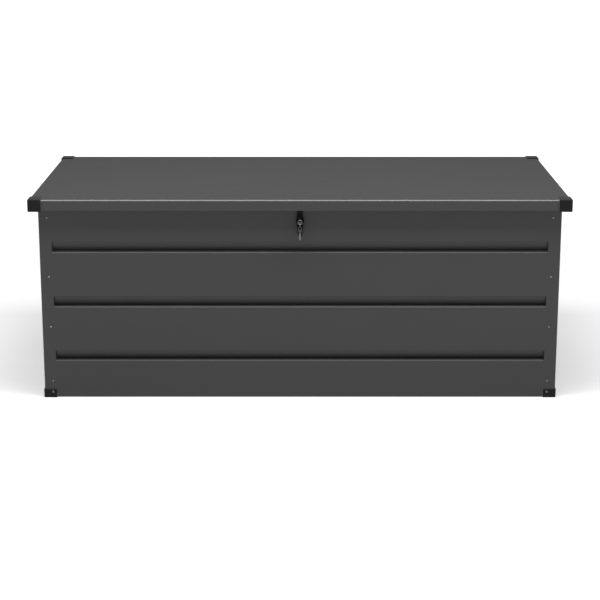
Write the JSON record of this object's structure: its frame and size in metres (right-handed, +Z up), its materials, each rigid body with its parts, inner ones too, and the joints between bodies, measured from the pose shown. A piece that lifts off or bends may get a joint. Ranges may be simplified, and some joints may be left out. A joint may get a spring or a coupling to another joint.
{
  "type": "deck storage box",
  "caption": "Ribbed sheet-steel storage chest with plastic corner caps and feet, a hinged lid on two gas struts and a cylinder lock with a turning handle and keys.",
  "frame": {"origin": "on the ground under the middle of the overall size", "axes": "+X to the right seen from the front, -Y towards the front where the lock is, +Z up"},
  "size_m": [1.6, 0.7306, 0.62],
  "materials": {
    "coated_steel": "dark grey satin powder coat",
    "black_plastic": "black fine-grained moulded plastic",
    "seal_foam": "black foam strip",
    "zinc_steel": "zinc plated",
    "bright_metal": "bright plated",
    "nickel": "nickel plated key stock",
    "lock_nickel": "dark satin nickel on the lock cylinder",
    "dark_zinc": "dull dark zinc on the pan-head screws",
    "key_grip": "dark grey moulded cover on the key bows",
    "lock_black": "black semi-gloss coating on die-cast zinc",
    "strut_black": "black gloss paint"
  },
  "bodies": {
    "box": {"front_panel": "coated_steel", "back_panel": "coated_steel", "left_panel": "coated_steel", "right_panel": "coated_steel", "floor_panel": "coated_steel", "corner_post_front_left": "coated_steel", "corner_post_front_right": "coated_steel", "corner_post_back_left": "coated_steel", "corner_post_back_right": "coated_steel", "corner_foot_front_left": "black_plastic", "corner_foot_front_right": "black_plastic", "corner_foot_back_left": "black_plastic", "corner_foot_back_right": "black_plastic", "rim_seal": "seal_foam", "hinge_rail": "zinc_steel", "wall_screws": "dark_zinc", "foot_screws": "dark_zinc", "hinge_screws": "zinc_steel", "hinge_box_leaf_1": "zinc_steel", "hinge_box_leaf_2": "zinc_steel", "hinge_box_leaf_3": "zinc_steel", "hinge_pin_1": "zinc_steel", "hinge_pin_2": "zinc_steel", "hinge_pin_3": "zinc_steel", "strut_lower_bracket_left": "zinc_steel", "strut_lower_bracket_right": "zinc_steel", "lock_plate": "zinc_steel", "lock_housing": "lock_black", "lock_nut": "zinc_steel"},
    "lid": {"lid_sheet": "coated_steel", "lid_rail_front": "coated_steel", "lid_rail_back": "coated_steel", "lid_rail_left": "coated_steel", "lid_rail_right": "coated_steel", "lid_stiffener_1": "coated_steel", "lid_stiffener_2": "coated_steel", "lid_stiffener_3": "coated_steel", "lid_cap_front_left": "black_plastic", "lid_cap_front_right": "black_plastic", "lid_cap_back_left": "black_plastic", "lid_cap_back_right": "black_plastic", "hinge_lid_leaf_1": "zinc_steel", "hinge_lid_leaf_2": "zinc_steel", "hinge_lid_leaf_3": "zinc_steel", "lid_rivets": "zinc_steel", "strut_upper_bracket_left": "zinc_steel", "strut_upper_bracket_right": "zinc_steel", "lid_keeper": "zinc_steel"},
    "strut_rod_left": {"strut_rod_left": "bright_metal"},
    "strut_rod_right": {"strut_rod_right": "bright_metal"},
    "strut_tube_left": {"strut_tube_left": "strut_black"},
    "strut_tube_right": {"strut_tube_right": "strut_black"},
    "handle": {"lock_handle": "lock_black", "lock_cylinder": "lock_nickel", "lock_cam": "zinc_steel", "cam_nut": "zinc_steel"},
    "plug": {"lock_plug": "lock_nickel"},
    "key": {"key": "nickel"},
    "key_ring": {"key_ring": "nickel", "spare_key": "nickel"}
  },
  "joints": [
    {"name": "lid_hinge", "type": "hinge", "parent": "box", "child": "lid", "pos_m": [0, 0.35533, 0.586], "axis": [-1, 0, 0], "range_deg": [0, 80]},
    {"name": "rod_pivot_left", "type": "hinge", "parent": "box", "child": "strut_rod_left", "pos_m": [-0.732, 0.25833, 0.35558], "axis": [-1, 0, 0], "range_deg": [0, 40]},
    {"name": "tube_pivot_left", "type": "hinge", "parent": "lid", "child": "strut_tube_left", "pos_m": [-0.732, 0.10545, 0.59398], "axis": [-1, 0, 0], "range_deg": [-40, 0]},
    {"name": "rod_pivot_right", "type": "hinge", "parent": "box", "child": "strut_rod_right", "pos_m": [0.732, 0.25833, 0.35558], "axis": [-1, 0, 0], "range_deg": [0, 40]},
    {"name": "tube_pivot_right", "type": "hinge", "parent": "lid", "child": "strut_tube_right", "pos_m": [0.732, 0.10545, 0.59398], "axis": [-1, 0, 0], "range_deg": [-40, 0]},
    {"name": "handle_turn", "type": "hinge", "parent": "box", "child": "handle", "pos_m": [0, -0.32467, 0.55], "axis": [0, 1, 0], "range_deg": [0, 90]},
    {"name": "key_turn", "type": "hinge", "parent": "handle", "child": "plug", "pos_m": [0, -0.33768, 0.55], "axis": [0, 1, 0], "range_deg": [0, 90]},
    {"name": "key_pull", "type": "slide", "parent": "plug", "child": "key", "axis": [0, -1, 0], "range_m": [0, 0.03]},
    {"name": "key_ring_swing", "type": "hinge", "parent": "key", "child": "key_ring", "pos_m": [0, -0.35968, 0.55], "axis": [0, 1, 0], "range_deg": [-35, 35]}
  ],
  "couplings": [
    {"joint": "rod_pivot_left", "follows": "lid_hinge", "ratio": 0.5},
    {"joint": "tube_pivot_left", "follows": "lid_hinge", "ratio": -0.5},
    {"joint": "rod_pivot_right", "follows": "lid_hinge", "ratio": 0.5},
    {"joint": "tube_pivot_right", "follows": "lid_hinge", "ratio": -0.5}
  ]
}
